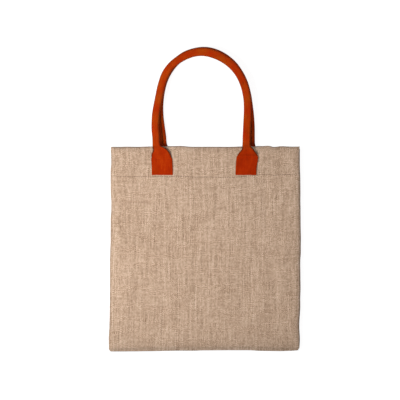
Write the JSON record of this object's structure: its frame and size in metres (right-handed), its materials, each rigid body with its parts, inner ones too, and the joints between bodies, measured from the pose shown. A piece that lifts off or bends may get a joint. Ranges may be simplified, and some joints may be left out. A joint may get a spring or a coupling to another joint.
{
  "type": "jute tote bag with two rolled suede handles",
  "caption": "Flat jute tote bag, folded at the bottom and hemmed at the mouth, with two rolled suede handles sewn on by flat tabs, lying on its back.",
  "frame": {"origin": "on the surface that the bag lies on, under the middle of the whole object's bounding box", "axes": "+X across the bag, +Y from the bottom fold up to the handles, +Z out of the bag's front"},
  "size_m": [0.3846, 0.609, 0.0343],
  "materials": {
    "jute": "natural jute in a coarse plain weave with slubs, matt",
    "suede": "rust-orange suede with a short nap, matt, sewn with matching thread"
  },
  "bodies": {
    "root": {"bag_body": "jute", "handle_front": "suede", "handle_back": "suede"}
  },
  "joints": []
}
